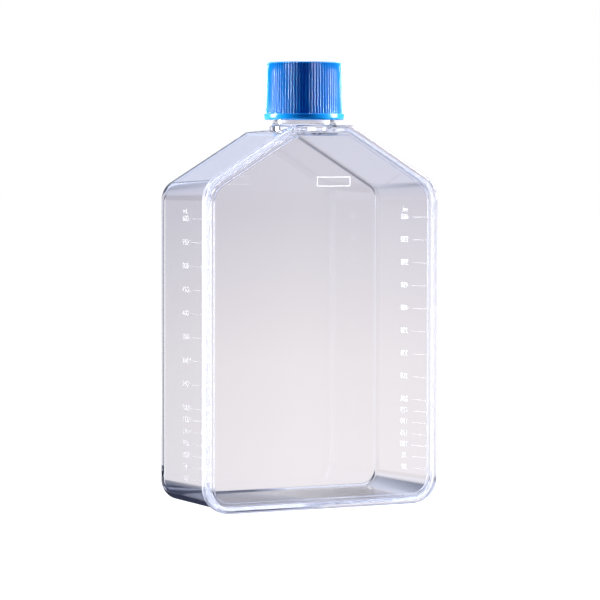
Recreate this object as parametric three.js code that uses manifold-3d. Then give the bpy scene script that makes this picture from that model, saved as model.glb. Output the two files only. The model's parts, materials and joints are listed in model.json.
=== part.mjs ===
// Cell culture flask, 175 square centimetre class, with a vented screw cap.
//
// A moulded polystyrene tray (floor, side walls, shoulders, back wall and neck in one piece) is
// closed by a flat plate welded to its front rim. The cap turns on a coarse right-hand thread, for
// whose ridges there is room between neck and cap, and carries a loose sealing ring and a
// gas-permeable membrane.
//
// Millimetres, +Z up. The flask stands on its short end with the plate facing -Y, and the origin is
// the middle of the box that holds it, at the height of the surface it stands on.

import * as THREE from 'three';
import { mergeVertices } from 'three/addons/utils/BufferGeometryUtils.js';
import Module from 'manifold-3d';

const wasm = await Module();
wasm.setup();

// ---------------------------------------------------------------- driving dimensions

// Outline of the front rim, which is the widest section of the flask
const rimWidth = 121;
const cornerHeight = 144.1;                            // where side and shoulder would meet if sharp
const shoulderAngle = THREE.MathUtils.degToRad(29.8);  // shoulder above the horizontal
const topFlatMargin = 0.2;                             // flat top beyond the neck's root, each side
const cornerRadius = 12.5;                             // base and shoulder corners
const topCornerRadius = 3;
const leastRadius = 0.5;                               // of any corner after it is moved inward

// Depth and walls
const depth = 47;
const plateThickness = 2.2;
const backThickness = 2.2;
const rimProud = 1.3;                                  // rim stands this far outside the wall
const rimDepth = 2.7;
const wallAtRim = 1.6;
const wallAtBack = 1.8;
const draft = 1.7;                                     // each wall leans in this much by the back
const backEdgeRadius = 1.6;
const insideEdgeRadius = 1;
const plateEdgeRadius = 1;

// Locating rib on the inside of the plate
const ribThickness = 1.2;
const ribHeight = 1.5;
const plateRibClearance = 0.3;

// Neck
const neckRadius = 13.6;                               // where the thread stands
const neckWall = 1.6;
const rootProud = 0.5;                                 // the root below the cap is this much wider
const rootHeight = 3.2;                                // top of the root above the rim's top
const neckHeight = 25.3;                               // lip above the rim's top
const collarWidth = 1.6;                               // fillet round the neck's root
const collarHeight = 3;
const lipChamfer = 0.4;

// Cap
const threadRoom = 1.5;                                // between the neck and the cap's bore
const capBottomGap = 2.45;                             // cap above the rim's top
const capSetBack = 0.05;                               // band's front behind the plate's face
const capWall = 1.4;                                   // from the bore to the ribs' valleys
const capTaper = 0.4;                                  // the ribs lean in this much by the top
const bandHeight = 2.65;
const bandProud = 0.75;                                // band stands this far outside the ribs
const gripRibs = 80;
const gripRibDepth = 0.6;
const capTopThickness = 1.55;
const capTopChamfer = 0.75;
const ventRimWidth = 5.45;                             // flat ring round the recess
const ventRecessDepth = 0.5;
const ventHoles = 8;
const ventHoleRadius = 1.5;

// Sealing ring and membrane
const sealThickness = 1;
const sealRadialClearance = 0.3;                       // in the cap's bore
const sealAxialClearance = 0.3;                        // to the cap's top and to the holding bead
const beadProud = 0.6;
const beadHeight = 0.6;
const membraneThickness = 0.3;
const membraneClearance = 1.3;                         // inside the sealing ring
const membraneWeldWidth = 2.5;                         // beyond the vent holes

// Facets
const arcSteps = 6;                                    // in each corner of the outline
const edgeSteps = 3;                                   // in each rounded edge
const turnSteps = 64;                                  // in each full turn
const ventHoleSteps = 12;
const cut = 1;                                         // how far a cutting body overshoots

// ---------------------------------------------------------------- worked-out places

const front = -depth / 2;
const back = depth / 2;
const rimFront = front + plateThickness;
const rootRadius = neckRadius + rootProud;
const topFlatWidth = 2 * (rootRadius + topFlatMargin);
const topHeight = cornerHeight + (rimWidth - topFlatWidth) / 2 * Math.tan(shoulderAngle);
const backInset = rimProud + draft;
const lipZ = topHeight + neckHeight;
const capBottom = topHeight + capBottomGap;
const ribsBottom = capBottom + bandHeight;
const boreRadius = neckRadius - neckWall;
const capBore = neckRadius + threadRoom;
const capRadiusLow = capBore + capWall + gripRibDepth;
const capRadiusHigh = capRadiusLow - capTaper;
const bandRadius = capRadiusLow + bandProud;
const neckAxisY = front + capSetBack + bandRadius;     // the cap clears the plate's face
const sealTop = lipZ + sealThickness;
const capCeiling = sealTop + sealAxialClearance;
const capTop = capCeiling + capTopThickness;
const beadTop = lipZ - sealAxialClearance;
const membraneRadius = boreRadius - membraneClearance;
const ventCircleRadius = membraneRadius - membraneWeldWidth - ventHoleRadius;
const ventRecessRadius = capRadiusHigh - capTopChamfer - ventRimWidth - ventRecessDepth;

// ---------------------------------------------------------------- shape helpers

/** Closed skin through rings of equal point count; each end is a fan about its own middle. */
function loft(rings) {
  const count = rings[0].length;
  const points = rings.flat();
  const faces = [];
  for (let k = 0; k + 1 < rings.length; k++) {
    for (let i = 0; i < count; i++) {
      const a = k * count + i;
      const b = k * count + (i + 1) % count;
      faces.push(a, b, b + count, a, b + count, a + count);
    }
  }
  const addEnd = (ring, offset, flip) => {
    const middle = ring.reduce((sum, p) => sum.add(p), new THREE.Vector3()).divideScalar(count);
    const hub = points.push(middle) - 1;
    for (let i = 0; i < count; i++) {
      const a = offset + i;
      const b = offset + (i + 1) % count;
      faces.push(...(flip ? [hub, b, a] : [hub, a, b]));
    }
  };
  addEnd(rings[0], 0, true);
  addEnd(rings.at(-1), (rings.length - 1) * count, false);
  const geometry = new THREE.BufferGeometry().setFromPoints(points);
  geometry.setIndex(faces);
  return geometry;
}

/** Signed volume, positive where the faces point out. */
function signedVolume(positions, index) {
  const corner = (k) => new THREE.Vector3().fromArray(positions, 3 * index[k]);
  let volume = 0;
  for (let k = 0; k < index.length; k += 3) {
    volume += corner(k).dot(corner(k + 1).cross(corner(k + 2))) / 6;
  }
  return volume;
}

/** Turn a closed three.js geometry into a solid that can be joined and cut. */
function solid(geometry) {
  const bare = geometry.clone();
  bare.deleteAttribute('normal');
  bare.deleteAttribute('uv');
  const merged = mergeVertices(bare, 1e-5);
  const vertProperties = new Float32Array(merged.attributes.position.array);
  const triVerts = [];
  for (let k = 0; k < merged.index.count; k += 3) {
    const [a, b, c] = [0, 1, 2].map((j) => merged.index.getX(k + j));
    if (a !== b && b !== c && c !== a) triVerts.push(a, b, c);
  }
  if (signedVolume(vertProperties, triVerts) < 0) triVerts.reverse();
  return new wasm.Manifold(new wasm.Mesh({
    numProp: 3,
    vertProperties,
    triVerts: new Uint32Array(triVerts),
  }));
}

/** Turn a solid back into a geometry for display. */
function geometryOf(manifold) {
  const { vertProperties, triVerts } = manifold.getMesh();
  const geometry = new THREE.BufferGeometry();
  geometry.setAttribute('position', new THREE.BufferAttribute(vertProperties, 3));
  geometry.setIndex(new THREE.BufferAttribute(triVerts, 1));
  geometry.computeVertexNormals();
  return geometry;
}

/** Revolve a profile of [radius, height] points about the Z axis. */
function revolve(profile) {
  const points = profile.map(([radius, height]) => new THREE.Vector2(radius, height));
  return new THREE.LatheGeometry(points, turnSteps).rotateX(Math.PI / 2);
}

/** Move a geometry onto the neck's axis. */
function ontoNeckAxis(geometry) {
  return geometry.translate(0, neckAxisY, 0);
}

// ---------------------------------------------------------------- the house-shaped outline

/** Corners of the rim's outline in X and Z, anticlockwise seen from the front. */
function outlineCorners() {
  const half = rimWidth / 2;
  const flat = topFlatWidth / 2;
  return [
    { x: -half, z: 0, radius: cornerRadius },
    { x: half, z: 0, radius: cornerRadius },
    { x: half, z: cornerHeight, radius: cornerRadius },
    { x: flat, z: topHeight, radius: topCornerRadius },
    { x: -flat, z: topHeight, radius: topCornerRadius },
    { x: -half, z: cornerHeight, radius: cornerRadius },
  ];
}

/** Ring at depth y of the outline moved inward by inset, with its corners rounded. */
function outlineRing(y, inset) {
  const corners = outlineCorners();
  const ring = [];
  corners.forEach((corner, i) => {
    const before = corners.at(i - 1);
    const after = corners[(i + 1) % corners.length];
    const arrive = new THREE.Vector2(corner.x - before.x, corner.z - before.z).normalize();
    const leave = new THREE.Vector2(after.x - corner.x, after.z - corner.z).normalize();
    const arriveIn = new THREE.Vector2(-arrive.y, arrive.x);
    const leaveIn = new THREE.Vector2(-leave.y, leave.x);
    const toCentre = arriveIn.clone().add(leaveIn).divideScalar(1 + arriveIn.dot(leaveIn));
    const radius = Math.max(corner.radius - inset, leastRadius);
    const centre = new THREE.Vector2(corner.x, corner.z).addScaledVector(toCentre, inset + radius);
    const turn = Math.acos(THREE.MathUtils.clamp(arrive.dot(leave), -1, 1));
    const start = Math.atan2(-arriveIn.y, -arriveIn.x);
    for (let k = 0; k <= arcSteps; k++) {
      const angle = start + turn * k / arcSteps;
      ring.push(new THREE.Vector3(
        centre.x + radius * Math.cos(angle),
        y,
        centre.y + radius * Math.sin(angle),
      ));
    }
  });
  return ring;
}

/** Rings of a quarter-round edge that shrinks towards depth y, on the side that facing says. */
function roundedEnd(y, inset, radius, facing) {
  const rings = [];
  for (let k = 0; k <= edgeSteps; k++) {
    const angle = Math.PI / 2 * k / edgeSteps;
    rings.push(outlineRing(
      y - facing * radius * (1 - Math.sin(angle)),
      inset + radius * (1 - Math.cos(angle)),
    ));
  }
  return rings;
}

// ---------------------------------------------------------------- flask body

/** Outside of the tray: the rim, then the drafted walls, then the rounded back edge. */
function trayOutside() {
  const wallStart = rimFront + rimDepth;
  return loft([
    outlineRing(rimFront, 0),
    outlineRing(wallStart, 0),
    outlineRing(wallStart, rimProud),
    ...roundedEnd(back, backInset, backEdgeRadius, 1),
  ]);
}

/** Chamber of the tray, open through the rim. */
function trayInside() {
  const insetAtRim = rimProud + wallAtRim;
  const insetAtBack = backInset + wallAtBack;
  return loft([
    outlineRing(rimFront - cut, insetAtRim),
    outlineRing(rimFront, insetAtRim),
    ...roundedEnd(back - backThickness, insetAtBack, insideEdgeRadius, 1),
  ]);
}

/** Solid neck with its wider root and the fillet below that, before the bore is cut. */
function neckOutside() {
  const root = topHeight - backInset - wallAtBack / 2;
  return ontoNeckAxis(revolve([
    [0, root],
    [rootRadius + collarWidth, root],
    [rootRadius + collarWidth, topHeight - collarHeight / 2],
    [rootRadius + collarWidth / 3, topHeight],
    [rootRadius, topHeight + collarHeight / 2],
    [rootRadius, topHeight + rootHeight],
    [neckRadius, topHeight + rootHeight + rootProud],
    [neckRadius, lipZ - lipChamfer],
    [neckRadius - lipChamfer, lipZ],
    [0, lipZ],
  ]));
}

/** Bore through the neck, flared where it meets the chamber and at the lip. */
function neckBore() {
  const chamberTop = topHeight - rimProud - wallAtRim;
  const start = topHeight - backInset - wallAtBack - cut;
  return ontoNeckAxis(revolve([
    [0, start],
    [boreRadius + lipChamfer, start],
    [boreRadius + lipChamfer, chamberTop],
    [boreRadius, chamberTop + lipChamfer],
    [boreRadius, lipZ - lipChamfer],
    [boreRadius + lipChamfer, lipZ],
    [boreRadius + lipChamfer, lipZ + cut],
    [0, lipZ + cut],
  ]));
}

/** Neck, with the part of its fillet that would reach past the weld face taken off. */
function neckBehindWeld() {
  return solid(neckOutside()).trimByPlane([0, 1, 0], rimFront);
}

function flaskBody() {
  return solid(trayOutside())
    .add(neckBehindWeld())
    .subtract(solid(trayInside()))
    .subtract(solid(neckBore()));
}

// ---------------------------------------------------------------- front plate

function frontPlate() {
  const plate = loft([
    ...roundedEnd(front, 0, plateEdgeRadius, -1).reverse(),
    outlineRing(rimFront, 0),
  ]);
  const ribInset = rimProud + wallAtRim + plateRibClearance;
  const ribBack = rimFront + ribHeight;
  const ribOutside = loft([
    outlineRing(rimFront - plateThickness / 2, ribInset),
    outlineRing(ribBack, ribInset),
  ]);
  const ribInside = loft([
    outlineRing(rimFront, ribInset + ribThickness),
    outlineRing(ribBack + cut, ribInset + ribThickness),
  ]);
  const window = solid(ribInside);
  return solid(plate).add(solid(ribOutside).subtract(window));
}

// ---------------------------------------------------------------- cap

/** Ring of the grip: each rib is a crest as wide as two thirds of the rib's share of the turn. */
function gripRing(z, radius) {
  const profile = [[0, -gripRibDepth], [0.3, 0], [0.7, 0]];
  const ring = [];
  for (let rib = 0; rib < gripRibs; rib++) {
    for (const [share, drop] of profile) {
      const angle = 2 * Math.PI * (rib + share) / gripRibs;
      ring.push(new THREE.Vector3(
        (radius + drop) * Math.cos(angle),
        (radius + drop) * Math.sin(angle),
        z,
      ));
    }
  }
  return ring;
}

/** The same ring with no ribs. */
function plainRing(z, radius) {
  return gripRing(z, radius).map((point) => point.setZ(0).setLength(radius).setZ(z));
}

function capOutside() {
  return loft([
    plainRing(capBottom, bandRadius - bandHeight / 4),
    plainRing(capBottom + bandHeight / 4, bandRadius),
    plainRing(ribsBottom, bandRadius),
    gripRing(ribsBottom, capRadiusLow),
    gripRing(capTop - capTopChamfer, capRadiusHigh),
    plainRing(capTop, capRadiusHigh - capTopChamfer),
  ]);
}

/** Hollow of the cap, with the bead that keeps the sealing ring in. */
function capInside() {
  const beadRadius = capBore - beadProud;
  return revolve([
    [0, capBottom - cut],
    [capBore + lipChamfer, capBottom - cut],
    [capBore + lipChamfer, capBottom],
    [capBore, capBottom + lipChamfer],
    [capBore, beadTop - 2 * beadHeight],
    [beadRadius, beadTop - beadHeight],
    [beadRadius, beadTop],
    [capBore, beadTop],
    [capBore, capCeiling],
    [0, capCeiling],
  ]);
}

/** Shallow round recess in the cap's top. */
function ventRecess() {
  return revolve([
    [0, capTop - ventRecessDepth],
    [ventRecessRadius, capTop - ventRecessDepth],
    [ventRecessRadius + ventRecessDepth, capTop],
    [ventRecessRadius + ventRecessDepth, capTop + cut],
    [0, capTop + cut],
  ]);
}

/** One vent hole through the cap's top. */
function ventHole(number) {
  const angle = 2 * Math.PI * number / ventHoles;
  const length = capTopThickness + 2 * cut;
  return new THREE.CylinderGeometry(ventHoleRadius, ventHoleRadius, length, ventHoleSteps)
    .rotateX(Math.PI / 2)
    .translate(
      ventCircleRadius * Math.cos(angle),
      ventCircleRadius * Math.sin(angle),
      capCeiling + capTopThickness / 2,
    );
}

function capShell() {
  let shell = solid(capOutside())
    .subtract(solid(capInside()))
    .subtract(solid(ventRecess()));
  for (let number = 0; number < ventHoles; number++) {
    shell = shell.subtract(solid(ventHole(number)));
  }
  return shell;
}

/** Loose ring that the cap presses onto the neck's lip. */
function sealRing() {
  return revolve([
    [boreRadius, lipZ],
    [capBore - sealRadialClearance, lipZ],
    [capBore - sealRadialClearance, sealTop],
    [boreRadius, sealTop],
    [boreRadius, lipZ],
  ]);
}

/** Membrane welded under the vent holes. */
function ventMembrane() {
  return revolve([
    [0, capCeiling - membraneThickness],
    [membraneRadius, capCeiling - membraneThickness],
    [membraneRadius, capCeiling],
    [0, capCeiling],
  ]);
}

// ---------------------------------------------------------------- the assembled flask

const polystyrene = new THREE.MeshStandardMaterial({
  color: 0xe4e8ef,
  roughness: 0.05,
  metalness: 0,
  transparent: true,
  opacity: 0.3,
});
const bluePolyethylene = new THREE.MeshStandardMaterial({
  color: 0x1479e0,
  roughness: 0.35,
  metalness: 0,
});
const naturalElastomer = new THREE.MeshStandardMaterial({
  color: 0xe9e7df,
  roughness: 0.6,
  metalness: 0,
});
const whiteMembrane = new THREE.MeshStandardMaterial({
  color: 0xf7f7f5,
  roughness: 0.9,
  metalness: 0,
});

function piece(name, shape, material) {
  const mesh = new THREE.Mesh(geometryOf(shape), material);
  mesh.name = name;
  return mesh;
}

const flask = new THREE.Group();
flask.add(
  piece('flask_body', flaskBody(), polystyrene),
  piece('front_plate', frontPlate(), polystyrene),
);

const cap = new THREE.Group();
cap.position.y = neckAxisY;
cap.add(
  piece('screw_cap', capShell(), bluePolyethylene),
  piece('seal_ring', solid(sealRing()), naturalElastomer),
  piece('vent_membrane', solid(ventMembrane()), whiteMembrane),
);

const cultureFlask = new THREE.Group();
cultureFlask.add(flask, cap);

export default cultureFlask;
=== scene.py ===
"""Cell culture flask: a clear tray welded to a flat plate, with a ribbed screw cap on its threaded neck.

Lengths are in metres: +Z is up along the neck, and the flat plate faces -Y.
"""

import math

import bmesh
import bpy
import json
from mathutils import Matrix, Vector


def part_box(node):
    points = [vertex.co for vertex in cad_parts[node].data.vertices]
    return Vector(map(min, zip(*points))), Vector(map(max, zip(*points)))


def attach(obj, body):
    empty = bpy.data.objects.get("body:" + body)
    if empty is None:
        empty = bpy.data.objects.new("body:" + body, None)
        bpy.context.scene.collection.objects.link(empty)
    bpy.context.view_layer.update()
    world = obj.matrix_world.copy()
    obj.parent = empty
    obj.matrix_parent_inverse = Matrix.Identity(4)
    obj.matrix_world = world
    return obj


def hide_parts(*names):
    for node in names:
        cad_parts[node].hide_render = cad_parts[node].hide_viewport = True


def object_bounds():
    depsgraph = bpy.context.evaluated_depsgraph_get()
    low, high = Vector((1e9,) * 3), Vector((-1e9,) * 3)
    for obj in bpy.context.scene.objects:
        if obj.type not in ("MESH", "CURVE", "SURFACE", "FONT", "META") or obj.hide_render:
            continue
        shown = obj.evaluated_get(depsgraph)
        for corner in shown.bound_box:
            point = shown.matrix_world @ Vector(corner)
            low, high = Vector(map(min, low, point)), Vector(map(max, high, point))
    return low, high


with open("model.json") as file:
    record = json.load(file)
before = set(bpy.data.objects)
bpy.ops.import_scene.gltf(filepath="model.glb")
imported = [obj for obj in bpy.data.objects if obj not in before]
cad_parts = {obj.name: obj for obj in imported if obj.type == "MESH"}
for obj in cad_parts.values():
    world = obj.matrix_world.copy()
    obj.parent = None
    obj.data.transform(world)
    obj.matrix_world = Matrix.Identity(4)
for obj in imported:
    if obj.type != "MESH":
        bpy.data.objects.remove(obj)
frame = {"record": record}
CAD_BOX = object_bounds()

MM = 0.001
TURN = 2 * math.pi

# ------------------------------------------------------------------ sizes from the frame

PLATE_LOW, PLATE_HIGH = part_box("front_plate")
BODY_LOW, BODY_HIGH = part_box("flask_body")
CAP_LOW, CAP_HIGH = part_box("screw_cap")
SEAL_LOW, SEAL_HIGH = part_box("seal_ring")
MEMBRANE_LOW, MEMBRANE_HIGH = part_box("vent_membrane")

FRONT = PLATE_LOW.y
WELD = BODY_LOW.y
BACK = BODY_HIGH.y
RIM_WIDTH = BODY_HIGH.x - BODY_LOW.x
TOP = PLATE_HIGH.z
LIP = BODY_HIGH.z
NECK_Y = (CAP_LOW.y + CAP_HIGH.y) / 2
CAP_BOTTOM = CAP_LOW.z
CAP_TOP = CAP_HIGH.z
BAND_RADIUS = CAP_HIGH.x
CEILING = MEMBRANE_HIGH.z
GROUND = CAD_BOX[0][2]

couplings = frame["record"]["behaviour"]["couplings"]
PITCH = couplings[0]["ratio"] * TURN

# ------------------------------------------------------------------ sizes of the details

# Outline of the rim
SHOULDER_ANGLE = math.radians(29.8)
TOP_FLAT_WIDTH = 28.6 * MM
CORNER_HEIGHT = TOP - (RIM_WIDTH - TOP_FLAT_WIDTH) / 2 * math.tan(SHOULDER_ANGLE)
CORNER_RADIUS = 12.5 * MM
TOP_CORNER_RADIUS = 3 * MM
LEAST_RADIUS = 0.5 * MM

# Depth and walls
RIM_PROUD = 1.3 * MM
RIM_DEPTH = 2.7 * MM
WALL_AT_RIM = 1.6 * MM
WALL_AT_BACK = 1.8 * MM
BACK_THICKNESS = 2.2 * MM
DRAFT = 1.7 * MM
BACK_EDGE_RADIUS = 1.6 * MM
INSIDE_EDGE_RADIUS = 1.0 * MM
PLATE_EDGE_RADIUS = 1.0 * MM
SMALL_RADIUS = 0.3 * MM
SEAM_DEPTH = 0.12 * MM
LOCATING_RIB_THICKNESS = 1.2 * MM
LOCATING_RIB_HEIGHT = 1.5 * MM
LOCATING_RIB_CLEARANCE = 0.3 * MM
BACK_INSET = RIM_PROUD + DRAFT

# Neck and lip
NECK_RADIUS = 13.6 * MM
ROOT_RADIUS = 14.1 * MM
ROOT_HEIGHT = 3.2 * MM
ROOT_FILLET = 1.6 * MM
ROOT_FILLET_SUNK = 0.4
BORE_RADIUS = 12.0 * MM
LIP_CHAMFER = 0.4 * MM

# Thread
THREAD_TURNS = 1.75
THREAD_HEIGHT = 1.2 * MM
THREAD_BASE = 2.1 * MM
THREAD_SHOULDER = 0.75
THREAD_SHOULDER_WIDTH = 1.364 * MM
THREAD_TIP_WIDTH = 0.66 * MM
THREAD_BELOW_LIP = 4.7 * MM
THREAD_BURIED = 0.4 * MM
RUN_OUT_TURNS = 1 / 6
RUN_OUT_LEAST = 0.08
CAP_BORE = 15.1 * MM
NECK_THREAD_MIDDLE = LIP - THREAD_BELOW_LIP - PITCH * THREAD_TURNS / 2
CAP_THREAD_MIDDLE = NECK_THREAD_MIDDLE - PITCH / 2

# Cap
BAND_HEIGHT = 2.65 * MM
RIBS_BOTTOM = CAP_BOTTOM + BAND_HEIGHT
GLOSS_FADE = 0.3 * MM
BAND_EDGE_RADIUS = 0.35 * MM
CAP_RADIUS_LOW = 17.1 * MM
CAP_RADIUS_HIGH = 16.7 * MM
GRIP_RIBS = 80
RIB_DEPTH = 0.40 * MM
RIB_CREST_POWER = 1.6
TOP_CHAMFER = 0.75 * MM
RECESS_RADIUS = 10.0 * MM
RECESS_DEPTH = 0.5 * MM
VENT_HOLES = 8
VENT_RADIUS = 1.5 * MM
VENT_CIRCLE = 6.7 * MM
BEAD_HEIGHT = 0.6 * MM
BEAD_BELOW_SEAL = 0.3 * MM

# Seal and membrane
SEAL_EDGE_RADIUS = 0.25 * MM
MEMBRANE_WELD_WIDTH = 1.2 * MM
MEMBRANE_WELD_DEPTH = 0.1 * MM

# White films along the rim and in the weld: painted highlight of the rim's bright edge
FILM_FROM_FRONT = 0.8 * PLATE_EDGE_RADIUS
FILM_FROM_SEAM = 2 * SEAM_DEPTH
FILM_GAP = 0.01 * MM
FILM_THICKNESS = 0.02 * MM
WELD_FILM_SHORT = 0.05 * MM

# Printing
INK_GAP = 0.01 * MM
INK_THICKNESS = 0.02 * MM
INK_MOTTLE = 0.06
GRADUATIONS = [*range(600, 150, -50), 175, 150, 125, 100, 75, 50]
SCALE_START = 4.1 * MM
SCALE_STEP = 0.2085 * MM
DIGIT_HEIGHT = 2.45 * MM
DIGIT_WIDEN = 1.1
DIGIT_SHARE_OF_FONT = 0.7
UNIT_ABOVE = 1.35 * DIGIT_HEIGHT
TICK_WIDTH = 0.12 * MM
LEFT_NUMBERS = 1.0 * MM
LEFT_TICKS = (7.4 * MM, 18.2 * MM)
RIGHT_NUMBERS = 0.5 * MM
RIGHT_TICKS = (-18.2 * MM, -5.9 * MM)
LABEL_X = (-4.35 * MM, 13.1 * MM)
LABEL_Z = (143.45 * MM, 147.7 * MM)
LABEL_LINE = 0.28 * MM

# Fineness of the meshes; CUT_PAST is how far a cutter goes past what it cuts
ARC_STEPS = 24
EDGE_STEPS = 8
ROUND_STEPS = 192
STEPS_PER_GRIP_RIB = 12
GRIP_STEPS = 6
THREAD_STEPS_PER_TURN = 96
VENT_STEPS = 32
CUT_PAST = 1 * MM
WELD_DISTANCE = 0.002 * MM
SHARP_ANGLE = math.radians(35)


# ------------------------------------------------------------------ mesh helpers


def link(name, data):
    """New object with a mesh, lettering, lamp or camera, in the scene."""
    piece = bpy.data.objects.new(name, data)
    bpy.context.scene.collection.objects.link(piece)
    return piece


def mesh_of(name, points, faces):
    """Mesh with its normals made to point out."""
    mesh = bpy.data.meshes.new(name)
    mesh.from_pydata(points, [], faces)
    work = bmesh.new()
    work.from_mesh(mesh)
    bmesh.ops.recalc_face_normals(work, faces=work.faces)
    work.to_mesh(mesh)
    work.free()
    return mesh


def loft(name, rings, closed_ends=True):
    """Closed skin through rings of equal point count."""
    count = len(rings[0])
    points = [point for ring in rings for point in ring]
    faces = []
    for k in range(len(rings) - 1):
        for i in range(count):
            a = k * count + i
            b = k * count + (i + 1) % count
            faces.append((a, b, b + count, a + count))
    if closed_ends:
        faces.append(tuple(range(count)))
        last = (len(rings) - 1) * count
        faces.append(tuple(range(last, last + count)))
    return mesh_of(name, points, faces)


def round_the_neck(radius, angle, height):
    """Point at a radius, angle and height about the neck's axis."""
    return (radius * math.cos(angle), NECK_Y + radius * math.sin(angle), height)


def revolve(name, profile):
    """Solid of revolution about the neck's axis from (radius, height) points.

    A profile that starts and ends on the axis is closed there by two flat ends.
    """
    on_axis = profile[0][0] == 0
    rim = profile[1:-1] if on_axis else profile
    rings = []
    for radius, height in rim:
        rings.append([round_the_neck(radius, TURN * i / ROUND_STEPS, height) for i in range(ROUND_STEPS)])
    if on_axis:
        return loft(name, rings)
    return loft(name, rings + rings[:1], closed_ends=False)


def arc(centre, radius, start, end, steps=EDGE_STEPS):
    """Points of an arc in a profile, angles in degrees."""
    points = []
    for k in range(steps + 1):
        angle = math.radians(start + (end - start) * k / steps)
        points.append((centre[0] + radius * math.cos(angle), centre[1] + radius * math.sin(angle)))
    return points


def combine(base, other, operation):
    """Boolean of two closed meshes; the result takes the base's place."""
    tool = link("tool", other)
    piece = link("base", base)
    step = piece.modifiers.new("step", "BOOLEAN")
    step.operation = operation
    step.object = tool
    step.solver = "MANIFOLD"
    graph = bpy.context.evaluated_depsgraph_get()
    made = bpy.data.meshes.new_from_object(piece.evaluated_get(graph))
    bpy.data.objects.remove(piece)
    bpy.data.objects.remove(tool)
    return made


def finish_piece(name, mesh, material, body, replaced=()):
    """Shade the mesh, give it its material, tie it to its body, and hide the CAD solids it replaces."""
    mesh.name = name
    work = bmesh.new()
    work.from_mesh(mesh)
    bmesh.ops.remove_doubles(work, verts=work.verts, dist=WELD_DISTANCE)
    work.to_mesh(mesh)
    work.free()
    mesh.materials.clear()
    mesh.materials.append(material)
    for face in mesh.polygons:
        face.use_smooth = True
        face.material_index = 0
    mesh.set_sharp_from_angle(angle=SHARP_ANGLE)
    piece = link(name, mesh)
    even = piece.modifiers.new("even", "WEIGHTED_NORMAL")
    even.mode = "FACE_AREA"
    even.keep_sharp = True
    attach(piece, body)
    if replaced:
        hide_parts(*replaced)


# ------------------------------------------------------------------ the house-shaped outline


def outline_ring(y, inset):
    """Ring at depth y of the rim's outline moved inward, with its corners rounded."""
    half = RIM_WIDTH / 2
    flat = TOP_FLAT_WIDTH / 2
    corners = [
        (-half, 0, CORNER_RADIUS),
        (half, 0, CORNER_RADIUS),
        (half, CORNER_HEIGHT, CORNER_RADIUS),
        (flat, TOP, TOP_CORNER_RADIUS),
        (-flat, TOP, TOP_CORNER_RADIUS),
        (-half, CORNER_HEIGHT, CORNER_RADIUS),
    ]
    ring = []
    for i, (x, z, full_radius) in enumerate(corners):
        corner = Vector((x, z))
        before = Vector(corners[i - 1][:2])
        after = Vector(corners[(i + 1) % len(corners)][:2])
        arrive = (corner - before).normalized()
        leave = (after - corner).normalized()
        arrive_in = Vector((-arrive.y, arrive.x))
        leave_in = Vector((-leave.y, leave.x))
        to_centre = (arrive_in + leave_in) / (1 + arrive_in.dot(leave_in))
        radius = max(full_radius - inset, LEAST_RADIUS)
        centre = corner + to_centre * (inset + radius)
        turn = math.acos(max(-1.0, min(1.0, arrive.dot(leave))))
        start = math.atan2(-arrive_in.y, -arrive_in.x)
        for k in range(ARC_STEPS + 1):
            angle = start + turn * k / ARC_STEPS
            ring.append((centre.x + radius * math.cos(angle), y, centre.y + radius * math.sin(angle)))
    return ring


def outline_loft(name, profile):
    """Skin through outline rings, from (depth, inset) points."""
    return loft(name, [outline_ring(y, inset) for y, inset in profile])


# ------------------------------------------------------------------ flask meshes


def tray_outside():
    """Outside of the welded shell: plate, weld seam, proud rim, drafted walls, back."""
    wall_start = WELD + RIM_DEPTH
    r = SMALL_RADIUS
    profile = arc((FRONT + PLATE_EDGE_RADIUS, PLATE_EDGE_RADIUS), PLATE_EDGE_RADIUS, 180, 270)
    profile += [(WELD - SEAM_DEPTH, 0), (WELD, SEAM_DEPTH), (WELD + SEAM_DEPTH, 0)]
    profile += arc((wall_start - r, r), r, 270, 360)
    profile += arc((wall_start + r, RIM_PROUD - r), r, 180, 90)
    profile += arc((BACK - BACK_EDGE_RADIUS, BACK_INSET + BACK_EDGE_RADIUS), BACK_EDGE_RADIUS, 270, 360)
    return outline_loft("tray_outside", profile)


def chamber():
    """Hollow of the shell, with the plate's locating rib standing in it."""
    r = SMALL_RADIUS
    wall_inset = RIM_PROUD + WALL_AT_RIM
    rib_inset = wall_inset + LOCATING_RIB_CLEARANCE
    rib_inner = rib_inset + LOCATING_RIB_THICKNESS
    rib_back = WELD + LOCATING_RIB_HEIGHT
    back_inset = BACK_INSET + WALL_AT_BACK
    inner_back = BACK - BACK_THICKNESS
    edge = INSIDE_EDGE_RADIUS
    profile = arc((WELD + r, rib_inner + r), r, 180, 270)
    profile += arc((rib_back - r, rib_inner - r), r, 90, 0)
    profile += arc((rib_back - r, rib_inset + r), r, 0, -90)
    profile += [(WELD, rib_inset), (WELD, wall_inset)]
    profile += arc((inner_back - edge, back_inset + edge), edge, 270, 360)
    return outline_loft("chamber", profile)


def neck_outside():
    """Neck with its wider root and the fillet below that, before the bore is cut."""
    root = TOP - BACK_INSET - WALL_AT_BACK / 2
    fillet = ROOT_FILLET
    fillet_height = TOP + (1 - ROOT_FILLET_SUNK) * fillet
    taper_top = TOP + ROOT_HEIGHT + ROOT_RADIUS - NECK_RADIUS
    profile = [(0, root), (ROOT_RADIUS + fillet, root)]
    profile += arc((ROOT_RADIUS + fillet, fillet_height), fillet, 270, 180)
    profile += [(ROOT_RADIUS, TOP + ROOT_HEIGHT), (NECK_RADIUS, taper_top)]
    profile += arc((NECK_RADIUS - LIP_CHAMFER, LIP - LIP_CHAMFER), LIP_CHAMFER, 0, 90)
    profile += [(0, LIP)]
    return revolve("neck_outside", profile)


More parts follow.
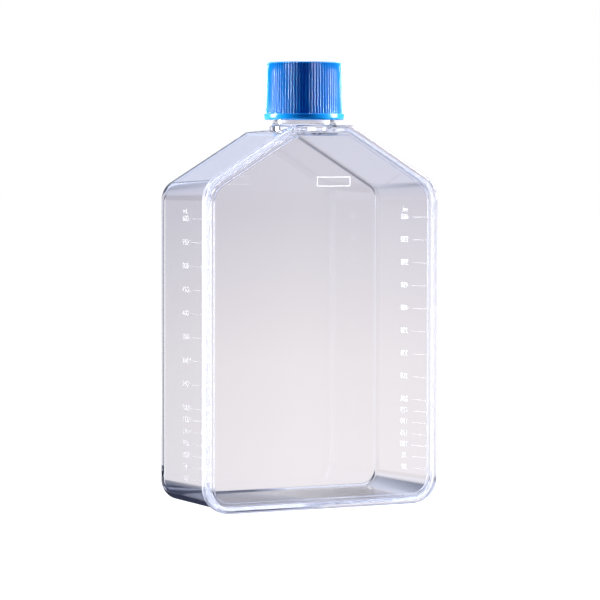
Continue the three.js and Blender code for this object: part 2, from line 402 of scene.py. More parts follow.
def neck_bore():
    """Bore through the neck, flared where it meets the chamber and at the lip."""
    chamber_top = TOP - RIM_PROUD - WALL_AT_RIM
    start = TOP - BACK_INSET - WALL_AT_BACK - CUT_PAST
    above = LIP + CUT_PAST
    flared = BORE_RADIUS + LIP_CHAMFER
    profile = [
        (0, start),
        (flared, start),
        (flared, chamber_top),
        (BORE_RADIUS, chamber_top + LIP_CHAMFER),
        (BORE_RADIUS, LIP - LIP_CHAMFER),
        (flared, LIP),
        (flared, above),
        (0, above),
    ]
    return revolve("neck_bore", profile)


def thread_ridge(root_radius, tip_radius, middle):
    """Helical ridge, rounded at its crest, that runs out at both ends."""
    steps = round(THREAD_TURNS * THREAD_STEPS_PER_TURN)
    foot = root_radius + math.copysign(THREAD_BURIED, root_radius - tip_radius)
    rings = []
    for k in range(steps + 1):
        turns = THREAD_TURNS * k / steps
        to_end = min(turns, THREAD_TURNS - turns)
        fade = max(RUN_OUT_LEAST, math.sin(min(1, to_end / RUN_OUT_TURNS) * math.pi / 2))
        height = middle + PITCH * (turns - THREAD_TURNS / 2)
        tip = root_radius + (tip_radius - root_radius) * fade
        shoulder = root_radius + (tip - root_radius) * THREAD_SHOULDER
        section = [
            (foot, -THREAD_BASE / 2),
            (shoulder, -THREAD_SHOULDER_WIDTH / 2),
            (tip, -THREAD_TIP_WIDTH / 2),
            (tip, THREAD_TIP_WIDTH / 2),
            (shoulder, THREAD_SHOULDER_WIDTH / 2),
            (foot, THREAD_BASE / 2),
        ]
        rings.append([round_the_neck(radius, TURN * turns, height + rise) for radius, rise in section])
    return loft("thread", rings)


# ------------------------------------------------------------------ cap meshes


def grip_ring(height, radius, depth):
    """Ring of the grip: rounded ribs with wider valleys between them."""
    count = GRIP_RIBS * STEPS_PER_GRIP_RIB
    ring = []
    for i in range(count):
        along_rib = (i % STEPS_PER_GRIP_RIB) / STEPS_PER_GRIP_RIB
        crest = (0.5 - 0.5 * math.cos(TURN * along_rib)) ** RIB_CREST_POWER
        ring.append(round_the_neck(radius - depth * (1 - crest), TURN * i / count, height))
    return ring


def cap_outside():
    """Outside of the cap: band, grip ribs and rounded top edge."""
    edge = BAND_EDGE_RADIUS
    full_depth = RIBS_BOTTOM + edge
    shoulder = CAP_TOP - TOP_CHAMFER
    band = arc((BAND_RADIUS - 2 * edge, CAP_BOTTOM + 2 * edge), 2 * edge, 270, 360, 6)
    band += arc((BAND_RADIUS - edge, RIBS_BOTTOM - edge), edge, 0, 80, 4)
    rings = [grip_ring(height, radius, 0) for radius, height in band]

    # The valleys start shallow at the band, and slope to their full depth
    rings.append(grip_ring(RIBS_BOTTOM + 0.02 * MM, CAP_RADIUS_LOW, RIB_DEPTH * 0.4))
    for k in range(GRIP_STEPS + 1):
        share = k / GRIP_STEPS
        height = full_depth + share * (shoulder - full_depth)
        radius = CAP_RADIUS_LOW + share * (CAP_RADIUS_HIGH - CAP_RADIUS_LOW)
        rings.append(grip_ring(height, radius, RIB_DEPTH))
    for radius, height in arc((CAP_RADIUS_HIGH - TOP_CHAMFER, shoulder), TOP_CHAMFER, 15, 90, 7):
        fade = (CAP_TOP - height) / TOP_CHAMFER
        rings.append(grip_ring(height, radius, RIB_DEPTH * fade))
    return loft("cap_outside", rings)


def cap_inside():
    """Hollow of the cap, with the bead that keeps the sealing ring in."""
    bead_top = SEAL_LOW.z - BEAD_BELOW_SEAL
    start = CAP_BOTTOM - CUT_PAST
    profile = [
        (0, start),
        (CAP_BORE + LIP_CHAMFER, start),
        (CAP_BORE + LIP_CHAMFER, CAP_BOTTOM),
        (CAP_BORE, CAP_BOTTOM + LIP_CHAMFER),
        (CAP_BORE, bead_top - 2 * BEAD_HEIGHT),
        (CAP_BORE - BEAD_HEIGHT, bead_top - BEAD_HEIGHT),
        (CAP_BORE - BEAD_HEIGHT, bead_top),
        (CAP_BORE, bead_top),
        (CAP_BORE, CEILING),
        (0, CEILING),
    ]
    return revolve("cap_inside", profile)


def vent_recess():
    """Shallow round recess in the cap's top."""
    floor = CAP_TOP - RECESS_DEPTH
    above = CAP_TOP + CUT_PAST
    wide = RECESS_RADIUS + RECESS_DEPTH
    profile = [(0, floor), (RECESS_RADIUS, floor), (wide, CAP_TOP), (wide, above), (0, above)]
    return revolve("vent_recess", profile)


def vent_hole(number):
    """Cutter of one vent hole."""
    middle = round_the_neck(VENT_CIRCLE, TURN * number / VENT_HOLES, 0)
    rings = []
    for height in (CEILING - CUT_PAST, CAP_TOP + CUT_PAST):
        ring = []
        for i in range(VENT_STEPS):
            turn = TURN * i / VENT_STEPS
            x = middle[0] + VENT_RADIUS * math.cos(turn)
            y = middle[1] + VENT_RADIUS * math.sin(turn)
            ring.append((x, y, height))
        rings.append(ring)
    return loft("vent_hole", rings)


# ------------------------------------------------------------------ shader helpers


def new_material(name):
    """New material, with its nodes, links and main shader."""
    material = bpy.data.materials.new(name)
    material.use_nodes = True
    nodes = material.node_tree.nodes
    return material, nodes, material.node_tree.links, nodes["Principled BSDF"]


def noise_node(nodes, links, scale, detail=2):
    """Noise in the piece's own coordinates; the size of its grains is about 1 / scale."""
    place = nodes.new("ShaderNodeTexCoord")
    noise = nodes.new("ShaderNodeTexNoise")
    noise.inputs["Scale"].default_value = scale
    noise.inputs["Detail"].default_value = detail
    links.new(place.outputs["Object"], noise.inputs["Vector"])
    return noise.outputs["Fac"]


def ramp_node(nodes, links, value, stops):
    """Colour by value, from (value, colour) stops between 0 and 1."""
    ramp = nodes.new("ShaderNodeValToRGB")
    elements = ramp.color_ramp.elements
    while len(elements) < len(stops):
        elements.new(0.5)
    for element, (position, colour) in zip(elements, stops):
        element.position = position
        element.color = (*colour, 1)
    links.new(value, ramp.inputs["Fac"])
    return ramp.outputs["Color"]


def mottle(nodes, links, shader, cloud, low, high):
    """Base colour that drifts between two near tones."""
    tone = ramp_node(nodes, links, cloud, [(0.35, low), (0.65, high)])
    links.new(tone, shader.inputs["Base Color"])


def fine_bump(nodes, links, shader, height, strength):
    """Surface grain, at most 0.05 mm deep."""
    bump = nodes.new("ShaderNodeBump")
    bump.inputs["Strength"].default_value = strength
    bump.inputs["Distance"].default_value = 0.05 * MM
    links.new(height, bump.inputs["Height"])
    links.new(bump.outputs["Normal"], shader.inputs["Normal"])


def mix_node(nodes, links, factor, first, second):
    """Colour mix; first and second are sockets."""
    mix = nodes.new("ShaderNodeMix")
    mix.data_type = "RGBA"
    links.new(factor, mix.inputs[0])
    links.new(first, mix.inputs[6])
    links.new(second, mix.inputs[7])
    return mix.outputs[2]


def mix_shaders(nodes, links, factor, first, second):
    """Shader mix; first and second are shader sockets."""
    mix = nodes.new("ShaderNodeMixShader")
    links.new(factor, mix.inputs["Fac"])
    links.new(first, mix.inputs[1])
    links.new(second, mix.inputs[2])
    return mix.outputs["Shader"]


def by_ray(nodes, links, path, base, mirrored, through, to_camera):
    """What a mirror, the clear plastic and the camera each see, and a base that lights the rest."""
    stack = mix_shaders(nodes, links, path.outputs["Is Glossy Ray"], base, mirrored)
    stack = mix_shaders(nodes, links, path.outputs["Is Transmission Ray"], stack, through)
    return mix_shaders(nodes, links, path.outputs["Is Camera Ray"], stack, to_camera)


def multiply_node(nodes, links, first, second):
    """Product of two colour sockets."""
    product = nodes.new("ShaderNodeVectorMath")
    product.operation = "MULTIPLY"
    links.new(first, product.inputs[0])
    links.new(second, product.inputs[1])
    return product.outputs[0]


def length_node(nodes, links, vector):
    """Length of a vector socket."""
    length = nodes.new("ShaderNodeVectorMath")
    length.operation = "LENGTH"
    links.new(vector, length.inputs[0])
    return length.outputs["Value"]


def scaled(nodes, links, value, low, high):
    """Value brought from low..high to 0..1."""
    span = nodes.new("ShaderNodeMapRange")
    span.inputs["From Min"].default_value = low
    span.inputs["From Max"].default_value = high
    links.new(value, span.inputs["Value"])
    return span.outputs["Result"]


def math_node(nodes, links, operation, value, *constants):
    """Sum, product or other function of a value and constants."""
    node = nodes.new("ShaderNodeMath")
    node.operation = operation
    links.new(value, node.inputs[0])
    for place, constant in enumerate(constants, start=1):
        node.inputs[place].default_value = constant
    return node.outputs[0]


# ------------------------------------------------------------------ materials


def clear_plastic():
    """Moulded polystyrene: refractive, and lamps shine through it."""
    material, nodes, links, shader = new_material("clear_polystyrene")
    shader.inputs["Base Color"].default_value = (0.985, 0.985, 0.995, 1)
    shader.inputs["Roughness"].default_value = 0.0
    shader.inputs["IOR"].default_value = 1.59
    shader.inputs["Transmission Weight"].default_value = 1.0
    path = nodes.new("ShaderNodeLightPath")
    pale = nodes.new("ShaderNodeBsdfTransparent")
    pale.inputs["Color"].default_value = (0.93, 0.94, 0.96, 1)
    in_shadow = path.outputs["Is Shadow Ray"]
    both = mix_shaders(nodes, links, in_shadow, shader.outputs["BSDF"], pale.outputs["BSDF"])
    links.new(both, nodes["Material Output"].inputs["Surface"])
    return material


def blue_plastic():
    """Moulded polyethylene: a fine grain, glossy on the ribs and satin on the band."""
    material, nodes, links, shader = new_material("blue_polyethylene")
    cloud = noise_node(nodes, links, 60)
    mottle(nodes, links, shader, cloud, (0.0, 0.33, 0.90), (0.0, 0.36, 0.95))
    place = nodes.new("ShaderNodeTexCoord")
    height = nodes.new("ShaderNodeSeparateXYZ")
    links.new(place.outputs["Object"], height.inputs[0])
    band = nodes.new("ShaderNodeMapRange")
    band.inputs["From Min"].default_value = RIBS_BOTTOM
    band.inputs["From Max"].default_value = RIBS_BOTTOM + GLOSS_FADE
    band.inputs["To Min"].default_value = 0.22
    band.inputs["To Max"].default_value = 0.08
    links.new(height.outputs["Z"], band.inputs["Value"])
    roughness = nodes.new("ShaderNodeMath")
    roughness.operation = "MULTIPLY_ADD"
    roughness.inputs[1].default_value = 0.05
    links.new(cloud, roughness.inputs[0])
    links.new(band.outputs["Result"], roughness.inputs[2])
    links.new(roughness.outputs[0], shader.inputs["Roughness"])
    shader.inputs["Specular IOR Level"].default_value = 0.55
    fine_bump(nodes, links, shader, noise_node(nodes, links, 900, 3), 0.05)
    return material


def weld_film(name, opacity):
    """Painted highlight: a thin white film, mostly see-through, that makes the rim's edge show bright."""
    material, nodes, links, shader = new_material(name)
    cloud = noise_node(nodes, links, 700, 4)
    mottle(nodes, links, shader, cloud, (0.80, 0.84, 0.96), (0.85, 0.88, 1.0))
    shader.inputs["Roughness"].default_value = 0.7
    shader.inputs["Alpha"].default_value = opacity
    return material


def mottled_material(name, low, high, roughness, scale):
    """Opaque material with a gently mottled colour and a fine bump."""
    material, nodes, links, shader = new_material(name)
    cloud = noise_node(nodes, links, scale, 4)
    mottle(nodes, links, shader, cloud, low, high)
    shader.inputs["Roughness"].default_value = roughness
    fine_bump(nodes, links, shader, cloud, 0.2)
    return material


def printing_ink(name, tone, opacity, glow):
    """White or grey ink. The glow keeps it white where little light falls."""
    low = (tone, tone, tone)
    lighter = tone + INK_MOTTLE
    material = mottled_material(name, low, (lighter, lighter, lighter), 0.55, 2000)
    shader = material.node_tree.nodes["Principled BSDF"]
    shader.inputs["Alpha"].default_value = opacity
    shader.inputs["Emission Color"].default_value = (1, 1, 1, 1)
    shader.inputs["Emission Strength"].default_value = glow
    return material


POLYSTYRENE = clear_plastic()
BLUE = blue_plastic()
ELASTOMER = mottled_material("natural_elastomer", (0.70, 0.68, 0.60), (0.76, 0.74, 0.66), 0.5, 800)
MEMBRANE = mottled_material("white_membrane", (0.84, 0.84, 0.82), (0.92, 0.92, 0.90), 0.9, 1500)
# White films that paint the rim's bright highlight
EDGE_HIGHLIGHT = weld_film("edge_highlight", 0.17)
WELD_HIGHLIGHT = weld_film("weld_highlight", 0.16)
LABEL_INK = printing_ink("white_ink", 0.80, 0.9, 0.6)
SCALE_INK = printing_ink("scale_ink", 0.46, 1.0, 0.0)


# ------------------------------------------------------------------ the pieces


def make_shell():
    """Tray, plate and neck as one clear shell, because the weld has melted them together."""
    shell = combine(tray_outside(), neck_outside(), "UNION")
    ridge = thread_ridge(NECK_RADIUS, NECK_RADIUS + THREAD_HEIGHT, NECK_THREAD_MIDDLE)
    shell = combine(shell, ridge, "UNION")
    shell = combine(shell, chamber(), "DIFFERENCE")
    shell = combine(shell, neck_bore(), "DIFFERENCE")
    finish_piece("flask_shell", shell, POLYSTYRENE, "flask", ("flask_body", "front_plate"))


def outline_film(name, depths, insets, material):
    """Thin closed film that follows the outline, between two depths and two insets."""
    front, back = depths
    near, far = insets
    profile = [(front, near), (front, far), (back, far), (back, near)]
    rings = [outline_ring(y, inset) for y, inset in profile]
    mesh = loft(name, rings + rings[:1], closed_ends=False)
    finish_piece(name, mesh, material, "flask")


def make_weld_films():
    """Painted highlight films on the rim's side, on each side of the seam, and in the weld itself."""
    on_side = (-FILM_GAP, -FILM_GAP - FILM_THICKNESS)
    plate_side = (FRONT + FILM_FROM_FRONT, WELD - FILM_FROM_SEAM)
    outline_film("plate_edge_highlight", plate_side, on_side, EDGE_HIGHLIGHT)
    rim_side = (WELD + FILM_FROM_SEAM, WELD + RIM_DEPTH - SMALL_RADIUS)
    outline_film("rim_edge_highlight", rim_side, on_side, EDGE_HIGHLIGHT)
    in_weld = (WELD - FILM_THICKNESS / 2, WELD + FILM_THICKNESS / 2)
    in_wall = (RIM_PROUD, RIM_PROUD + WALL_AT_RIM - WELD_FILM_SHORT)
    outline_film("weld_highlight_line", in_weld, in_wall, WELD_HIGHLIGHT)


def make_cap():
    """Cap with its internal thread, top recess and vent holes."""
    cap = combine(cap_outside(), cap_inside(), "DIFFERENCE")
    ridge = thread_ridge(CAP_BORE, CAP_BORE - THREAD_HEIGHT, CAP_THREAD_MIDDLE)
    cap = combine(cap, ridge, "UNION")
    cap = combine(cap, vent_recess(), "DIFFERENCE")
    for number in range(VENT_HOLES):
        cap = combine(cap, vent_hole(number), "DIFFERENCE")
    finish_piece("ribbed_cap", cap, BLUE, "cap", ("screw_cap",))


def make_seal():
    """Sealing ring with rounded edges, from the bore out to the ring's own radius."""
    edge = SEAL_EDGE_RADIUS
    inner = BORE_RADIUS + edge
    outer = SEAL_HIGH.x - edge
    low = SEAL_LOW.z + edge
    high = SEAL_HIGH.z - edge
    profile = arc((inner, low), edge, 180, 270, 4)
    profile += arc((outer, low), edge, 270, 360, 4)
    profile += arc((outer, high), edge, 0, 90, 4)
    profile += arc((inner, high), edge, 90, 180, 4)
    ring = revolve("seal", profile)
    finish_piece("sealing_ring", ring, ELASTOMER, "seal", ("seal_ring",))


def make_membrane():
    """Gas-permeable disc with a welded edge."""
    radius = MEMBRANE_HIGH.x
    free_radius = radius - MEMBRANE_WELD_WIDTH
    low = MEMBRANE_LOW.z
    free_low = low + MEMBRANE_WELD_DEPTH
    high = MEMBRANE_HIGH.z
    profile = [(0, free_low), (free_radius, free_low), (free_radius, low)]
    profile += [(radius, low), (radius, high), (0, high)]
    disc = revolve("membrane", profile)
    finish_piece("gas_membrane", disc, MEMBRANE, "cap", ("vent_membrane",))


# ------------------------------------------------------------------ printing


def wall_outside(y):
    """Distance from the middle to the outside of the side wall at depth y."""
    start = WELD + RIM_DEPTH
    lean = DRAFT * (y - start) / (BACK - BACK_EDGE_RADIUS - start)
    return RIM_WIDTH / 2 - RIM_PROUD - lean


def print_text(text):
    """Flat lettering in X and Y about its own middle, as a closed mesh."""
    curve = bpy.data.curves.new("lettering", "FONT")
    curve.body = text
    curve.align_x = "CENTER"
    curve.align_y = "CENTER"
    curve.size = DIGIT_HEIGHT / DIGIT_SHARE_OF_FONT
    curve.extrude = INK_THICKNESS / 2
    letters = link("lettering", curve)
    graph = bpy.context.evaluated_depsgraph_get()
    mesh = bpy.data.meshes.new_from_object(letters.evaluated_get(graph))
    bpy.data.objects.remove(letters)
    mesh.transform(Matrix.Diagonal((DIGIT_WIDEN, 1, 1, 1)))
    return mesh


def ink_bar(x0, y0, x1, y1):
    """Thin flat bar as a closed mesh."""
    half = INK_THICKNESS / 2
    rings = []
    for z in (-half, half):
        rings.append([(x0, y0, z), (x1, y0, z), (x1, y1, z), (x0, y1, z)])
    return loft("bar", rings)


def join_ink(name, parts, ink, place):
    """One piece from flat parts, each mapped from (along, up, out) to its wall."""
    work = bmesh.new()
    for mesh, along, up in parts:
        mesh.transform(Matrix.Translation((along, up, 0)))
        work.from_mesh(mesh)
    bmesh.ops.triangulate(work, faces=work.faces)
    for vertex in work.verts:
        vertex.co = place(vertex.co)
    bmesh.ops.recalc_face_normals(work, faces=work.faces)
    mesh = bpy.data.meshes.new(name)
    work.to_mesh(mesh)
    work.free()
    mesh.materials.append(ink)
    piece = link(name, mesh)
    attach(piece, "flask")


def scale_parts(number_middle, ticks):
    """Numbers and ticks of one scale, from where the numbers and the ticks' ends lie along the wall."""
    parts = []
    for volume in GRADUATIONS:
        height = SCALE_START + SCALE_STEP * volume
        parts.append((print_text(str(volume)), number_middle, height))
        tick = ink_bar(ticks[0], -TICK_WIDTH / 2, ticks[1], TICK_WIDTH / 2)
        parts.append((tick, 0, height))
    top_height = SCALE_START + SCALE_STEP * GRADUATIONS[0]
    parts.append((print_text("mL"), number_middle, top_height + UNIT_ABOVE))
    return parts


def label_bars():
    """The four lines of the empty label frame."""
    left, right = LABEL_X
    low, high = LABEL_Z
    line = LABEL_LINE
    return [
        (ink_bar(left, low, right, low + line), 0, 0),
        (ink_bar(left, high - line, right, high), 0, 0),
        (ink_bar(left, low + line, left + line, high - line), 0, 0),
        (ink_bar(right - line, low + line, right, high - line), 0, 0),
    ]


def make_printing():
    """A scale on each side wall, and the label frame on the plate."""
    lift = INK_GAP + INK_THICKNESS / 2

    def on_left_wall(p):
        return Vector((-wall_outside(-p.x) - lift - p.z, -p.x, p.y))

    def on_right_wall(p):
        return Vector((wall_outside(p.x) + lift + p.z, p.x, p.y))

    def on_plate(p):
        return Vector((p.x, FRONT - lift - p.z, p.y))

    join_ink("left_scale", scale_parts(LEFT_NUMBERS, LEFT_TICKS), SCALE_INK, on_left_wall)
    join_ink("right_scale", scale_parts(RIGHT_NUMBERS, RIGHT_TICKS), SCALE_INK, on_right_wall)
    join_ink("label_frame", label_bars(), LABEL_INK, on_plate)


# ------------------------------------------------------------------ camera and lamps

CAMERA_PLACE = Vector((-0.8369, -1.3553, 0.1570))
CAMERA_AZIMUTH = math.radians(31.74)
CAMERA_DOWN = math.radians(2.33)
CAMERA_ROLL = math.radians(0.10)
CAMERA_LENS = 212.8
CAMERA_SENSOR = 36
CAMERA_REACH = 100
LIGHT_BOUNCES = 32

LAMP_TARGET = Vector((0, 0, 0.12))
SIDE_LAMP_AZIMUTHS = {"left_softbox": -80, "right_softbox": 83}
SIDE_LAMP_DISTANCE = 1.0
SIDE_LAMP_HEIGHT = 0.47
SIDE_LAMP_SIZE = (0.3, 0.66)
SIDE_LAMP_POWER = 30
TOP_LAMP_PLACE = Vector((0, 0.35, 1.3))
TOP_LAMP_SIZE = (0.8, 0.5)
TOP_LAMP_POWER = 3


def make_camera():
    """Camera to the left of the plate, a little above the flask's middle and looking slightly down."""
    data = bpy.data.cameras.new("camera")
    data.lens = CAMERA_LENS
    data.sensor_width = CAMERA_SENSOR
    data.clip_end = CAMERA_REACH
    camera = link("camera", data)
    turn = Matrix.Rotation(-CAMERA_AZIMUTH, 4, "Z")
    tilt = Matrix.Rotation(math.pi / 2 - CAMERA_DOWN, 4, "X")
    roll = Matrix.Rotation(CAMERA_ROLL, 4, "Z")
    camera.matrix_world = Matrix.Translation(CAMERA_PLACE) @ turn @ tilt @ roll
    bpy.context.scene.camera = camera


def area_lamp(name, place, size, power):
    """Rectangular lamp that faces the flask."""
    data = bpy.data.lights.new(name, "AREA")
    data.shape = "RECTANGLE"
    data.size, data.size_y = size
    data.energy = power
    lamp = link(name, data)
    aim = (LAMP_TARGET - place).to_track_quat("-Z", "Y")
    lamp.matrix_world = Matrix.Translation(place) @ aim.to_matrix().to_4x4()
    return lamp


def make_lamps():
    """A tall softbox on each side, a little behind the flask, and a weak one above.

    Azimuths are in degrees to the right of the direction in which the camera looks.
    """
    for name, azimuth in SIDE_LAMP_AZIMUTHS.items():
        turn = CAMERA_AZIMUTH + math.radians(azimuth)
        across = SIDE_LAMP_DISTANCE * math.sin(turn)
        along = SIDE_LAMP_DISTANCE * math.cos(turn)
        lamp = area_lamp(name, Vector((across, along, SIDE_LAMP_HEIGHT)), SIDE_LAMP_SIZE, SIDE_LAMP_POWER)
        lamp.visible_transmission = False
    area_lamp("top_softbox", TOP_LAMP_PLACE, TOP_LAMP_SIZE, TOP_LAMP_POWER)


# ------------------------------------------------------------------ surroundings

# Colours of the card, the table and the tent
BLACK = (0, 0, 0)
WHITE = (1, 1, 1)
TENT_WHITE = (1.15, 1.18, 1.28)
TENT_BRIGHT = (1.10, 1.12, 1.25)
TENT_FAIR = (0.75, 0.75, 0.78)
TENT_DIM = (0.30, 0.30, 0.35)
TENT_DARK = (0.15, 0.16, 0.20)
TABLE_WHITE = (1.0, 1.0, 1.08)
LEVEL_WHITE = (0.95, 0.97, 1.1)
# Painted shadow of the flask on the table, seen through the plastic just below eye level ahead
SHADOW_STRIP_GREY = (0.42, 0.43, 0.50)
SHADOW_STRIP_DARK = (0.05, 0.06, 0.10)
SHADOW_STRIP_AHEAD = (0.55, 0.56, 0.63)
SHADE = (0.22, 0.215, 0.26)
SHADE_AHEAD = (0.70, 0.69, 0.76)
SKY_LOW = (0.80, 0.87, 1.10)
SKY_TOP = (0.55, 0.60, 0.78)
BEHIND_GREY = (0.74, 0.74, 0.77)

# Heights in the tent, from 0 straight down through 0.5 on the level to 1 straight up.
# Each pair is where one colour ends and the next begins. The card is shaded between
# two rises, which are sines of the angle above the level.
TABLE_END = (0.4475, 0.450)
TENT_START = (0.492, 0.498)
TENT_END = (0.507, 0.512)
CARD_END = (0.515, 0.523)
CARD_LOW_RISE = -0.10
CARD_HIGH_RISE = 0.03

# Floor
FLOOR_HALF_SIZE = 6
FLOOR_GAP = 0.05 * MM
FLOOR_COLOUR = (0.3, 0.3, 0.3)
FLOOR_GLOW_NEAR = (0.50, 0.50, 0.50)
FLOOR_GLOW_FAR = (1.1, 1.1, 1.1)
# Painted shadow under the flask, which only rays through the plastic and reflections see
PAINTED_SHADOW_MIDDLE = (-38 * MM, 20 * MM)
PAINTED_SHADOW_RADII = (50 * MM, 55 * MM)


def at_degrees(*stops):
    """Ramp stops from angles between -180 and 180 degrees."""
    return [((angle + 180) / 360, colour) for angle, colour in stops]


def between(start, end):
    """Stops of a mask that is white from start to end, each a pair of positions, and black outside."""
    return [(start[0], BLACK), (start[1], WHITE), (end[0], WHITE), (end[1], BLACK)]


def between_degrees(start, end):
    """The same by direction, with the pairs in degrees."""
    return at_degrees(*between(start, end))


def card_colour(nodes, links, rise, around):
    """The grey card behind the flask: lighter at its foot, and shaded a little from side to side."""
    card = ramp_node(nodes, links, scaled(nodes, links, rise, CARD_LOW_RISE, CARD_HIGH_RISE), [
        (0.0, (0.945, 0.905, 0.915)),
        (0.12, (0.955, 0.905, 0.90)),
        (0.32, (0.905, 0.86, 0.855)),
        (0.43, (0.835, 0.79, 0.80)),
        (0.56, (0.75, 0.72, 0.748)),
        (0.68, (0.662, 0.637, 0.685)),
        (0.80, (0.62, 0.60, 0.66)),
        (1.0, (0.60, 0.59, 0.66)),
    ])
    sideways = ramp_node(nodes, links, around, at_degrees(
        (-2.6, (0.85, 0.86, 0.90)),
        (-1.7, (0.92, 0.92, 0.95)),
        (-1.3, (0.96, 0.96, 0.97)),
        (-0.6, (1, 1, 1)),
        (0.3, (1.02, 1.02, 1.02)),
        (1.3, (1, 1, 1.01)),
        (2.3, (0.95, 0.95, 0.97)),
    ))
    return multiply_node(nodes, links, card, sideways)


def level_colour(nodes, links, around):
    """The tent at eye level: white behind the flask, dark gaps beside that, and fair behind the camera."""
    return ramp_node(nodes, links, around, at_degrees(
        (-95, TENT_FAIR),
        (-75, TENT_DIM),
        (-60, TENT_DIM),
        (-54, TENT_WHITE),
        (-50, TENT_WHITE),
        (-47, TENT_DARK),
        (-25, TENT_DARK),
        (-22, TENT_WHITE),
        (22, TENT_WHITE),
        (25, TENT_DARK),
        (47, TENT_DARK),
        (55, TENT_DIM),
        (85, TENT_FAIR),
        (100, TENT_BRIGHT),
        (130, TENT_BRIGHT),
        (140, TENT_FAIR),
    ))


def height_colour(nodes, links, height, around):
    """Above and below eye level: a bright table with a painted shadow strip across it ahead, shade, and
    then sky.
    """
    table = [
        (0.0, (0.35, 0.38, 0.50)),
        (0.17, (0.60, 0.68, 0.92)),
        (0.29, (0.85, 0.88, 1.05)),
        (0.38, (1.0, 1.0, 1.10)),
    ]
    # Painted shadow: a dark strip across the table ahead, just below eye level
    painted_shadow_strip = [
        (0.395, SHADOW_STRIP_GREY),
        (0.411, SHADOW_STRIP_GREY),
        (0.418, SHADOW_STRIP_DARK),
        (TABLE_END[0], SHADOW_STRIP_DARK),
        (TABLE_END[1], TABLE_WHITE),
    ]
    above = [
        (0.475, (1.10, 1.10, 1.15)),
        (TENT_END[0], LEVEL_WHITE),
        (TENT_END[1], SHADE),
        (0.60, SHADE),
        (0.605, (0.74, 0.81, 1.03)),
        (0.70, SKY_LOW),
        (0.78, (0.80, 0.90, 1.25)),
        (1.0, SKY_TOP),
    ]
    straight_ahead = [
        (0.395, SHADOW_STRIP_AHEAD),
        (TABLE_END[0], SHADOW_STRIP_AHEAD),
        (TABLE_END[1], TABLE_WHITE),
        (CARD_END[0], LEVEL_WHITE),
        (CARD_END[1], SHADE_AHEAD),
        (0.60, SHADE_AHEAD),
        (0.612, SKY_LOW),
        (1.0, SKY_TOP),
    ]
    sides = ramp_node(nodes, links, height, table + above)
    front = ramp_node(nodes, links, height, table + painted_shadow_strip + above)
    ahead = ramp_node(nodes, links, around, between_degrees((-26, -22), (22, 26)))
    colour = mix_node(nodes, links, ahead, sides, front)
    centre = ramp_node(nodes, links, height, table + straight_ahead)
    straight = ramp_node(nodes, links, around, between_degrees((-1.7, -1.4), (1.0, 1.5)))
    colour = mix_node(nodes, links, straight, colour, centre)
    behind = ramp_node(nodes, links, around, at_degrees(
        (-80, BEHIND_GREY),
        (-60, WHITE),
        (60, WHITE),
        (80, BEHIND_GREY),
    ))
    return multiply_node(nodes, links, colour, behind)


def surroundings_colour(nodes, links):
    """What the plastic shows behind and round the flask, and the direction's share of a full turn."""
    direction = nodes.new("ShaderNodeTexCoord")
    parts = nodes.new("ShaderNodeSeparateXYZ")
    links.new(direction.outputs["Generated"], parts.inputs[0])
    rise = parts.outputs["Z"]
    height = scaled(nodes, links, rise, -1, 1)
    angle = nodes.new("ShaderNodeMath")
    angle.operation = "ARCTAN2"
    links.new(parts.outputs["X"], angle.inputs[0])
    links.new(parts.outputs["Y"], angle.inputs[1])
    turned = math_node(nodes, links, "SUBTRACT", angle.outputs[0], CAMERA_AZIMUTH)
    wrapped = math_node(nodes, links, "WRAP", turned, math.pi, -math.pi)
    around = scaled(nodes, links, wrapped, -math.pi, math.pi)

    off_level = ramp_node(nodes, links, height, [
        (TENT_START[0], WHITE),
        (TENT_START[1], BLACK),
        (TENT_END[0], BLACK),
        (TENT_END[1], WHITE),
    ])
    level = level_colour(nodes, links, around)
    tent = mix_node(nodes, links, off_level, level, height_colour(nodes, links, height, around))
    card_across = ramp_node(nodes, links, around, between_degrees((-9, -5), (5, 9)))
    card_up = ramp_node(nodes, links, height, between(TABLE_END, CARD_END))
    card_mask = multiply_node(nodes, links, card_across, card_up)
    return mix_node(nodes, links, card_mask, tent, card_colour(nodes, links, rise, around)), around


def background(nodes, colour, strength=1):
    """Background shader of a plain colour."""
    shader = nodes.new("ShaderNodeBackground")
    shader.inputs["Color"].default_value = (*colour, 1)
    shader.inputs["Strength"].default_value = strength
    return shader


def make_world():
    """White to the camera; through the plastic and in reflections, a grey card in a tent of light."""
    world = bpy.data.worlds.new("studio")
    bpy.context.scene.world = world
    world.use_nodes = True
    nodes = world.node_tree.nodes
    links = world.node_tree.links
    nodes.clear()
    output = nodes.new("ShaderNodeOutputWorld")
    path = nodes.new("ShaderNodeLightPath")

    seen_colour, around = surroundings_colour(nodes, links)
    through = background(nodes, WHITE)
    links.new(seen_colour, through.inputs["Color"])

    # Outer reflections see the same tent, dim towards the front
    front_dim = ramp_node(nodes, links, around, at_degrees(
        (-180, (0.10, 0.10, 0.12)),
        (-100, (0.12, 0.12, 0.14)),
        (-55, (0.12, 0.12, 0.14)),
        (-50, WHITE),
        (50, WHITE),
        (60, (0.2, 0.2, 0.22)),
        (100, (0.12, 0.12, 0.14)),
        (180, (0.10, 0.10, 0.12)),
    ))
    mirrored = background(nodes, WHITE)
    links.new(multiply_node(nodes, links, seen_colour, front_dim), mirrored.inputs["Color"])

    ambient = background(nodes, (0.08, 0.10, 1), 0.2).outputs[0]
    to_camera = background(nodes, WHITE).outputs[0]
    stack = by_ray(nodes, links, path, ambient, mirrored.outputs[0], through.outputs[0], to_camera)

    # A matt surface that sees the tent only through the plastic gets the plain soft light too
    matt = math_node(nodes, links, "MINIMUM", path.outputs["Diffuse Depth"], 1)
    links.new(mix_shaders(nodes, links, matt, stack, ambient), output.inputs["Surface"])


# ------------------------------------------------------------------ floor


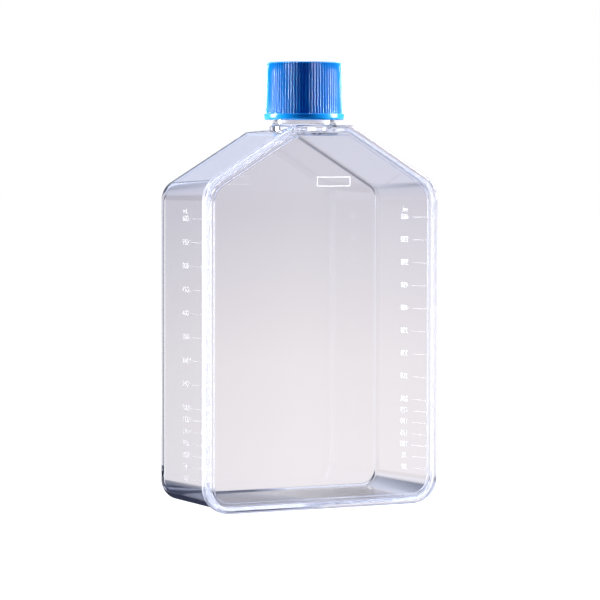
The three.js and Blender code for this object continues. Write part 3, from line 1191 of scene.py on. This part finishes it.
def floor_to_camera(nodes, links, place):
    """Dull near the flask, so that its shadow shows there, and white further out."""
    lit = nodes.new("ShaderNodeBsdfDiffuse")
    lit.inputs["Color"].default_value = (*FLOOR_COLOUR, 1)
    distance = scaled(nodes, links, length_node(nodes, links, place), 0, 1)
    whiteness = ramp_node(nodes, links, distance, [(0.25, FLOOR_GLOW_NEAR), (0.7, FLOOR_GLOW_FAR)])
    glow = nodes.new("ShaderNodeEmission")
    links.new(whiteness, glow.inputs["Color"])
    add = nodes.new("ShaderNodeAddShader")
    links.new(lit.outputs[0], add.inputs[0])
    links.new(glow.outputs[0], add.inputs[1])
    return add.outputs[0]


def floor_through_plastic(nodes, links, place):
    """Painted shadow of the flask: a dark oval under it, and clear beyond it, so that the surroundings
    show.
    """
    middle_x, middle_y = PAINTED_SHADOW_MIDDLE
    radius_x, radius_y = PAINTED_SHADOW_RADII
    squash = nodes.new("ShaderNodeVectorMath")
    squash.operation = "MULTIPLY_ADD"
    squash.inputs[1].default_value = (1 / radius_x, 1 / radius_y, 0)
    squash.inputs[2].default_value = (-middle_x / radius_x, -middle_y / radius_y, 0)
    links.new(place, squash.inputs[0])

    # The oval's edge is at 0.5
    outward = scaled(nodes, links, length_node(nodes, links, squash.outputs[0]), 0, 2)
    painted_shadow = ramp_node(nodes, links, outward, [
        (0.0, (0.02, 0.025, 0.05)),
        (0.35, (0.05, 0.055, 0.10)),
        (0.5, (0.5, 0.55, 0.75)),
    ])
    # The painted shadow glows dark in place of the flask's shadow on the table
    dark = nodes.new("ShaderNodeEmission")
    links.new(painted_shadow, dark.inputs["Color"])
    clear = nodes.new("ShaderNodeBsdfTransparent")
    edge = ramp_node(nodes, links, outward, [(0.48, BLACK), (0.53, WHITE)])
    return mix_shaders(nodes, links, edge, dark.outputs[0], clear.outputs[0])


def make_floor():
    """Table top just under the flask, which throws hardly any light back up."""
    half = FLOOR_HALF_SIZE
    z = GROUND - FLOOR_GAP
    corners = [(-half, -half, z), (half, -half, z), (half, half, z), (-half, half, z)]
    mesh = mesh_of("floor", corners, [(0, 1, 2, 3)])
    floor = link("floor", mesh)
    material, nodes, links, shader = new_material("pale_floor")
    shader.inputs["Base Color"].default_value = (0.012, 0.014, 0.03, 1)
    shader.inputs["Roughness"].default_value = 0.8
    path = nodes.new("ShaderNodeLightPath")
    place = nodes.new("ShaderNodeTexCoord").outputs["Object"]
    painted_shadow = floor_through_plastic(nodes, links, place)
    to_camera = floor_to_camera(nodes, links, place)
    stack = by_ray(nodes, links, path, shader.outputs[0], painted_shadow, painted_shadow, to_camera)
    links.new(stack, nodes["Material Output"].inputs["Surface"])
    mesh.materials.append(material)


make_shell()
make_weld_films()
make_cap()
make_seal()
make_membrane()
make_printing()
make_camera()
make_lamps()
make_world()
make_floor()

scene = bpy.context.scene
scene.view_settings.view_transform = "Standard"
scene.cycles.max_bounces = LIGHT_BOUNCES
scene.cycles.glossy_bounces = LIGHT_BOUNCES
scene.cycles.transmission_bounces = LIGHT_BOUNCES
